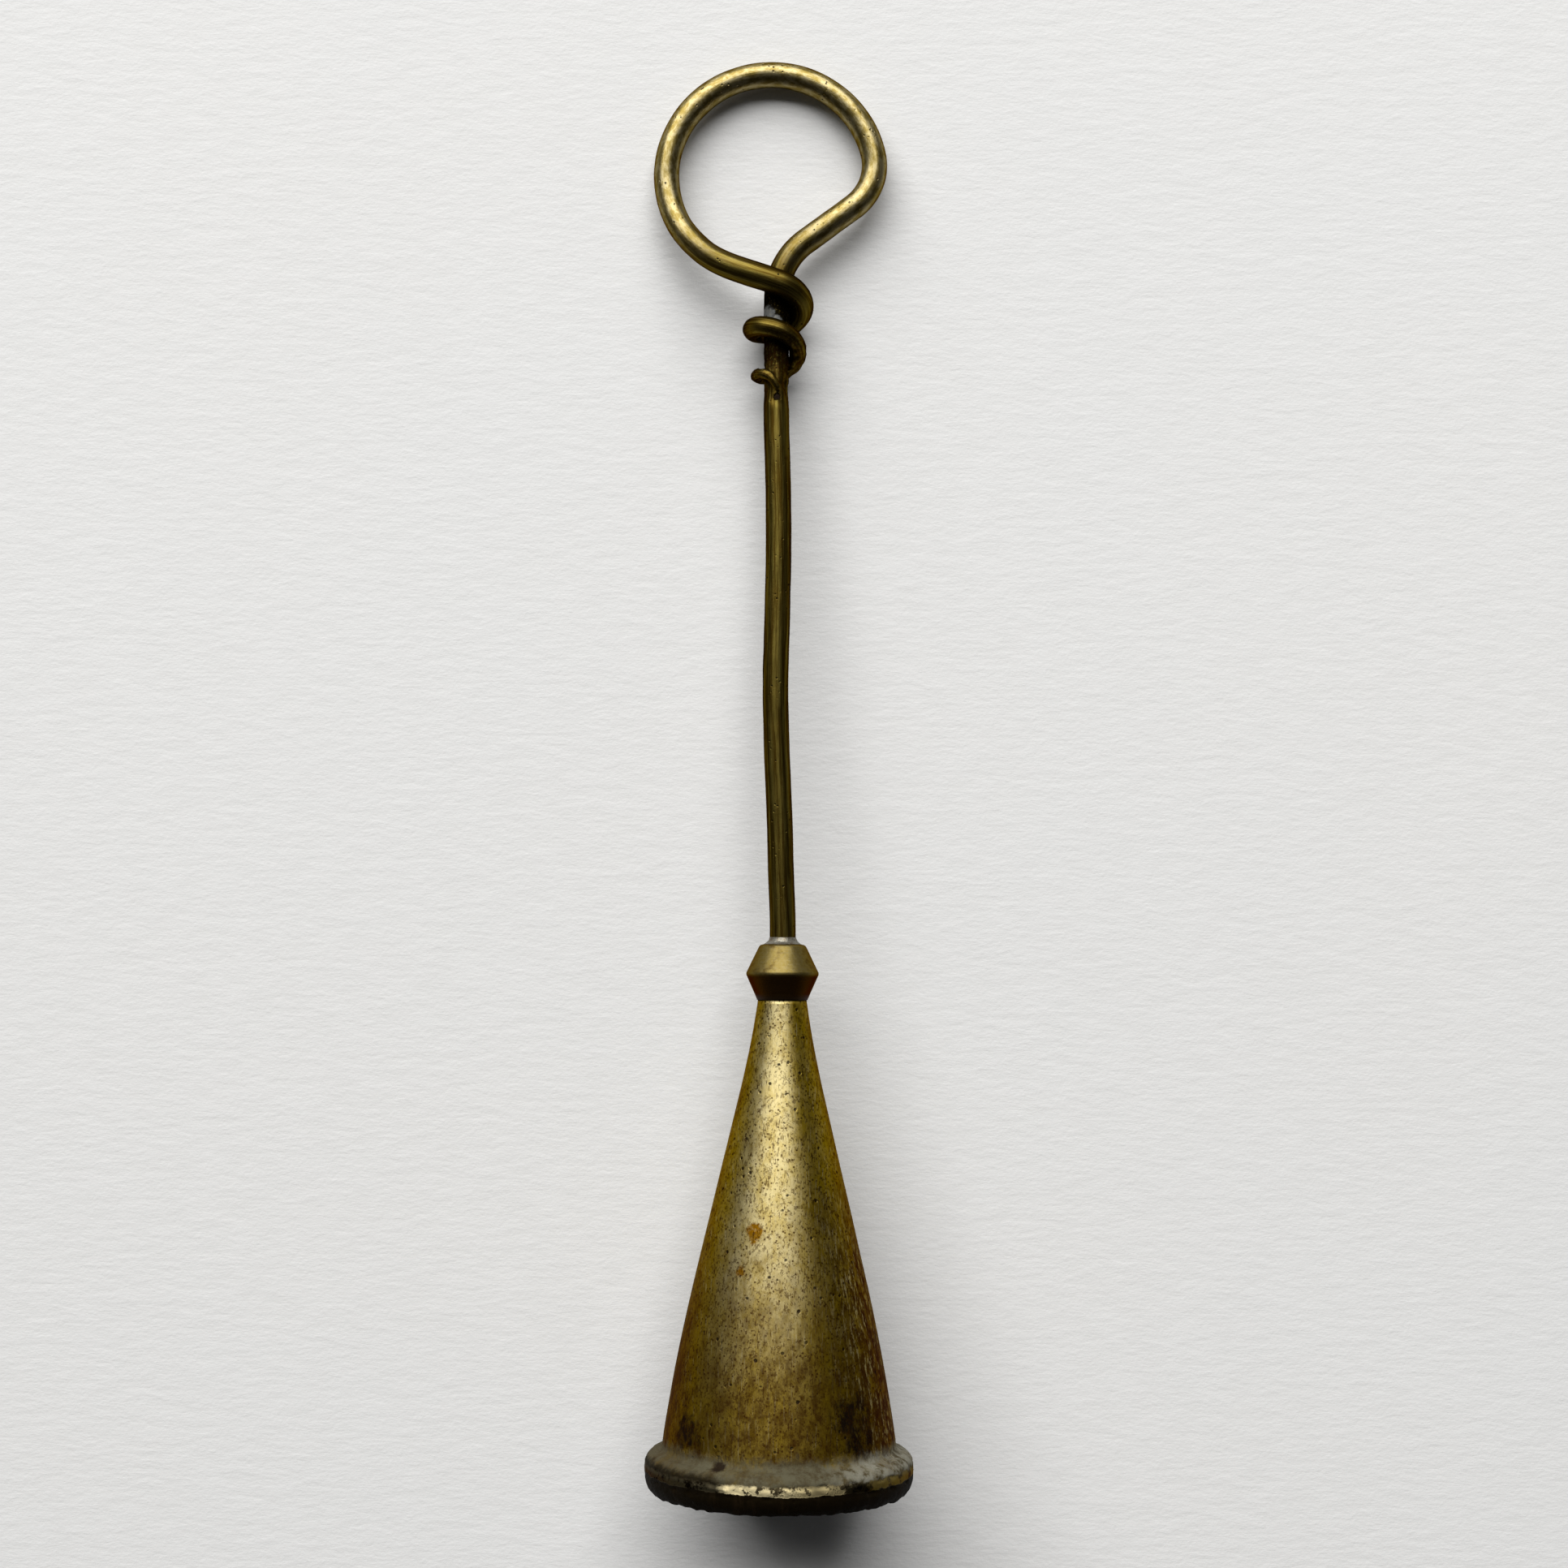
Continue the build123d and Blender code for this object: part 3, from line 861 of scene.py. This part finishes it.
def wire_line():
    """The wire's middle from the rivet head to the tip of the tail, as (x, y, z, radius)."""
    line = []
    # Rivet head, domed below the burr, then the tenon up through crown and collar
    dome = BURR_UNDER - RIVET_FOOT
    for step in range(DOME_STEPS + 1):
        turn = radians(90 * step / DOME_STEPS)
        height = RIVET_FOOT + dome * (1 - cos(turn))
        line.append(Vector((0, 0, height, max(0.15, RIVET_RADIUS * sin(turn)))))
    line.append(Vector((0, 0, BURR_UNDER + 0.01, TENON_RADIUS)))
    line.append(Vector((0, 0, COLLAR_TOP, TENON_RADIUS)))
    stem = [Vector((x, 0, z, WIRE_RADIUS)) for x, z in STEM_STATIONS]
    stem[0].z += 0.01
    line += through(stem, WIRE_SPACING)

    # The neck leaves the stem with one bend and turns into the ring with another
    start = Vector((-STEM_LEAN, STEM_TOP))
    bends, heading = arc(start, Vector((0, 1)), NECK_BEND[0], -NECK_BEND[1], WIRE_SPACING)
    bends += run(bends[-1], bends[-1] + heading * NECK_LENGTH, WIRE_SPACING)
    for radius, turn in (SHOULDER_BEND, (RING_RADIUS, RING_TURN)):
        points, heading = arc(bends[-1], heading, radius, turn, WIRE_SPACING)
        bends += points
    line += [Vector((x, 0, z, WIRE_RADIUS)) for x, z in bends]

    # The ring's lower left comes forward, crosses the stem and is wound round it
    ring_middle = bends[-1] + Vector((RING_RADIUS, 0))
    crossing = 2 * WIRE_RADIUS + WRAP_GAP
    coming = [line[-1]]
    for angle, share in RING_LIFTS:
        turn = radians(180 + angle)
        across = ring_middle + RING_RADIUS * Vector((cos(turn), sin(turn)))
        coming.append(Vector((across.x, -share * crossing, across.y, WIRE_RADIUS)))
    wrap = []
    count = round(WRAP_SWEEP / WRAP_STEP)
    for step in range(count + 1):
        share = step / count
        turn = radians(WRAP_SWEEP * share)
        radius = TAIL_TIP + (WIRE_RADIUS - TAIL_TIP) * (1 - share) ** TAIL_FULLNESS
        offset = WIRE_RADIUS + WRAP_GAP + radius
        hook = HOOK_DROP * max(0.0, (share - HOOK_FROM) / (1 - HOOK_FROM)) ** 2
        drop = WRAP_PITCH * turn / (2 * pi) + WRAP_TILT * (1 - cos(turn)) + hook
        sideways = -STEM_LEAN + offset * sin(turn)
        height = STEM_TOP + WRAP_RISE - drop
        wrap.append(Vector((sideways, -offset * cos(turn), height, radius)))
    behind = line[-2] - line[-1]
    guide = [coming[0] + behind * 4] + coming + [wrap[0], wrap[1]]
    tail = through(guide, WIRE_SPACING)
    start = min(range(len(tail)), key=lambda i: (tail[i] - coming[0]).length)
    end = min(range(len(tail)), key=lambda i: (tail[i] - wrap[0]).length)
    line += tail[start + 1:end]
    line += through(wrap, WIRE_SPACING)
    # The tip is rounded over
    heading = (line[-1] - line[-2]).xyz.normalized()
    for step in range(1, TIP_STEPS + 1):
        turn = radians(TIP_TURN * step / TIP_STEPS)
        point = wrap[-1].xyz + heading * TAIL_TIP * sin(turn)
        line.append(Vector((*point, TAIL_TIP * cos(turn))))
    return line


def wire_tree():
    """Draws a round wire along a line of edges and works its surface.

    Hammer flats and draw lines cover it, it is lumpy where the tail was closed down, and the
    attribute lay unrolls it: round the wire in X and Y, and along it in Z. The tree comes with
    the identifier that sets each of its inputs.
    """
    tree = bpy.data.node_groups.new("drawn_wire", "GeometryNodeTree")
    sockets = tree.interface
    sockets.new_socket("Geometry", in_out="OUTPUT", socket_type="NodeSocketGeometry")
    sockets.new_socket("Line", in_out="INPUT", socket_type="NodeSocketGeometry")
    kinds = [(name, kind) for name, kind, _ in WIRE_WORK]
    inputs = {}
    for name, kind in kinds + [("Brass", "NodeSocketMaterial")]:
        inputs[name] = sockets.new_socket(name, in_out="INPUT", socket_type=kind).identifier
    s = Steps(tree)
    given = tree.nodes.new("NodeGroupInput").outputs
    curve = s.add("GeometryNodeMeshToCurve", {"Mesh": given["Line"]})
    along = s.add("GeometryNodeSplineParameter", {}, "Length")
    curve = s.store(curve, "along", along, "FLOAT")
    feeds = {"Resolution": given["Facets"], "Radius": 1.0}
    section = s.add("GeometryNodeCurvePrimitiveCircle", feeds)
    section = s.store(section, "round", s.add("GeometryNodeInputPosition", {}), "FLOAT_VECTOR")
    thick = s.recall("thickness", "FLOAT")
    feeds = {"Curve": curve, "Profile Curve": section, "Scale": thick, "Fill Caps": True}
    tube = s.add("GeometryNodeCurveToMesh", feeds)

    # The unrolled surface, in millimetres
    wide = s.grow(s.recall("round", "FLOAT_VECTOR"), (WIRE_RADIUS, WIRE_RADIUS, 0.0))
    length = s.chain("DIVIDE", (s.recall("along", "FLOAT"), MM))
    lay = s.shift(wide, s.add("ShaderNodeCombineXYZ", {"Z": length}))
    tube = s.store(tube, "lay", lay, "FLOAT_VECTOR")

    # How far the work goes in: flats and draw lines all over, lumps at the wrap
    seed = s.add("ShaderNodeCombineXYZ", {"Z": s.times(given["Seed"], 31.0)})
    seeded = s.shift(s.recall("lay", "FLOAT_VECTOR"), seed)
    flats = s.ease(s.noise(s.grow(seeded, (1.0, 1.0, 0.35)), 1.5, 1.0, 0.4), 0.35, 0.75)
    lines = s.noise(s.grow(seeded, (1.0, 1.0, 0.06)), 0.4, 2.0, 0.6)
    place = s.add("GeometryNodeInputPosition", {})
    high = s.split(place, "Z")
    low_end = s.ease(high, given["Lumps from"], s.plus(given["Lumps from"], 3 * MM))
    high_end = s.ease(high, given["Lumps to"], s.plus(given["Lumps to"], -3 * MM))
    lumps = s.noise(s.grow(place, (1000.0, 1000.0, 700.0)), 1.3, 3.0, 0.6)
    lumpy = s.times(s.times(low_end, high_end), s.ease(lumps, 0.35, 0.7), given["Lumps"])
    worked = s.plus(s.times(flats, given["Hammer flats"]), s.times(lines, given["Draw lines"]))
    depth = s.plus(worked, lumpy)
    slim = s.ease(s.recall("thickness", "FLOAT"), 0.0, WIRE_RADIUS * MM)
    inward = s.scale(s.add("GeometryNodeInputNormal", {}), s.times(depth, slim, -1.0))

    tube = s.add("GeometryNodeSetPosition", {"Geometry": tube, "Offset": inward})
    tube = s.add("GeometryNodeSetShadeSmooth", {"Geometry": tube, "Shade Smooth": True})
    tube = s.add("GeometryNodeRealizeInstances", {"Geometry": tube})
    tube = s.add("GeometryNodeSetMaterial", {"Geometry": tube, "Material": given["Brass"]})
    out = tree.nodes.new("NodeGroupOutput")
    tree.links.new(tube, out.inputs[0])
    return tree, inputs


def make_handle():
    line = wire_line()
    mesh = bpy.data.meshes.new("handle_line")
    edges = [(i, i + 1) for i in range(len(line) - 1)]
    mesh.from_pydata([point.xyz * MM for point in line], edges, [])
    thickness = mesh.attributes.new("thickness", "FLOAT", "POINT")
    thickness.data.foreach_set("value", [point.w * MM for point in line])
    guide = bpy.data.objects.new("handle_line", mesh)
    bpy.context.scene.collection.objects.link(guide)
    tree, inputs = wire_tree()
    drawing = guide.modifiers.new("drawing", "NODES")
    drawing.node_group = tree
    for name, _, value in WIRE_WORK:
        drawing[inputs[name]] = value
    drawing[inputs["Brass"]] = wire_finish()
    # The stem, the ring and the wrap are one wire, so it is baked as one mesh
    depsgraph = bpy.context.evaluated_depsgraph_get()
    finished = guide.evaluated_get(depsgraph)
    baked = bpy.data.meshes.new_from_object(finished, depsgraph=depsgraph)
    baked.name = "handle_wire"
    guide.modifiers.remove(drawing)
    bpy.data.objects.remove(guide)
    handle = bpy.data.objects.new("handle_wire", baked)
    bpy.context.scene.collection.objects.link(handle)
    tidy = bmesh.new()
    tidy.from_mesh(baked)
    bmesh.ops.remove_doubles(tidy, verts=tidy.verts, dist=0.0001 * MM)
    bmesh.ops.recalc_face_normals(tidy, faces=tidy.faces)
    tidy.to_mesh(baked)
    tidy.free()
    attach(handle, "root")
    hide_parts("wire_handle")


# ---------------------------------------------------------------- paper, light and camera

# The snuffer lies on its bead and its wrap, so its axis falls towards the ring. Places on the
# paper are (across, up, above it), with the camera square over (0, 0).
AXIS_FALL = radians(4.83)
AXIS_TURN = radians(0.41)  # clockwise from straight up the paper
MOUTH_PLACE = Vector((-0.62, -83.66, 16.15))  # the middle of the mouth
CAMERA_HEIGHT = 300.0
LENS = 54.94
SENSOR_WIDTH = 36.0
NEAREST_SEEN = 0.01  # metres
PAPER_REACH = 260.0
PAPER_PLACE = -0.3  # just clear of the bead and the wrap
ROOM_REACH = 1000.0
ROOM = (
    # each dark card, with the up and above of its near edge and of its far edge
    ("dark_wall", (-400, -5), (-400, 600)),
    ("dark_ceiling", (-400, 600), (0, 700)),
)
SOFTBOX_PLACE = (-370, 1790, 1500)
SOFTBOX_AIM = (0, 0, 10)
SOFTBOX_SIZE = (3.1, 2.2)  # metres
SOFTBOX_POWER = 123.0
SOFTBOX_COLOUR = (1.0, 0.99, 0.98)
ROOM_GLOW = {"Color": (0.93, 0.96, 1.0, 1), "Strength": 0.07}
PALE_SURROUND = {"Color": (0.70, 0.70, 0.69, 1), "Strength": 1.0}
axis = Vector((sin(AXIS_TURN) * cos(AXIS_FALL), cos(AXIS_TURN) * cos(AXIS_FALL), -sin(AXIS_FALL)))
front = Vector((0, sin(AXIS_FALL), cos(AXIS_FALL)))
front = (front - axis * front.dot(axis)).normalized()
paper_to_part = Matrix((axis.cross(front), -front, axis))


def from_paper(across, up, above):
    return paper_to_part @ (Vector((across, up, above)) - MOUTH_PLACE) * MM


def card(name, corners, material):
    """A flat backdrop through four corners, which run anticlockwise round its face."""
    mesh = bpy.data.meshes.new(name)
    mesh.from_pydata(corners, [], [(0, 1, 2, 3)])
    mesh.materials.append(material)
    backdrop = bpy.data.objects.new(name, mesh)
    bpy.context.scene.collection.objects.link(backdrop)
    return backdrop


def make_softbox():
    """One big soft light, far off beyond the ring."""
    place = from_paper(*SOFTBOX_PLACE)
    data = bpy.data.lights.new("softbox", "AREA")
    data.shape = "RECTANGLE"
    data.size, data.size_y = SOFTBOX_SIZE
    data.energy = SOFTBOX_POWER
    data.color = SOFTBOX_COLOUR
    light = bpy.data.objects.new("softbox", data)
    facing = (from_paper(*SOFTBOX_AIM) - place).to_track_quat("-Z", "Y")
    light.matrix_world = Matrix.Translation(place) @ facing.to_matrix().to_4x4()
    light.visible_camera = False
    bpy.context.scene.collection.objects.link(light)


def make_room():
    """The paper, and a dark room beyond the mouth's end of it."""
    ends = ((-1, -1), (1, -1), (1, 1), (-1, 1))
    corners = [from_paper(a * PAPER_REACH, b * PAPER_REACH, PAPER_PLACE) for a, b in ends]
    card("paper", corners, paper_finish())

    f = Finish("dark_room")
    folds = f.noise(f.place, 80.0)
    gloom = f.wear(f.tone(folds, ROOM_DARK, ROOM_BROWN), f.level(folds, 0.85, 0.95), folds)
    for name, near, far in ROOM:
        ends = ((-ROOM_REACH, *near), (ROOM_REACH, *near), (ROOM_REACH, *far), (-ROOM_REACH, *far))
        shade = card(name, [from_paper(*end) for end in ends], gloom)
        shade.visible_camera = False


def make_surround():
    """The world gives little light, and looks pale where nothing stands before it."""
    world = bpy.data.worlds.new("studio")
    world.use_nodes = True
    w = Steps(world.node_tree)
    dim = w.add("ShaderNodeBackground", ROOM_GLOW)
    pale = w.add("ShaderNodeBackground", PALE_SURROUND)
    looked_at = w.add("ShaderNodeLightPath", {})
    surround = w.add("ShaderNodeMixShader", {0: looked_at, 1: dim, 2: pale})
    w.tree.links.new(surround, w.tree.nodes["World Output"].inputs["Surface"])
    bpy.context.scene.world = world
    bpy.context.scene.view_settings.view_transform = "Standard"


def make_camera():
    data = bpy.data.cameras.new("camera")
    data.lens = LENS
    data.sensor_width = SENSOR_WIDTH
    data.clip_start = NEAREST_SEEN
    data.dof.use_dof = False
    camera = bpy.data.objects.new("camera", data)
    place = Matrix.Translation(from_paper(0, 0, CAMERA_HEIGHT))
    camera.matrix_world = place @ paper_to_part.to_4x4()
    bpy.context.scene.collection.objects.link(camera)
    bpy.context.scene.camera = camera


make_bell()
make_collar()
make_solder()
make_burr()
make_handle()
make_room()
make_softbox()
make_surround()
make_camera()

bpy.context.view_layer.update()
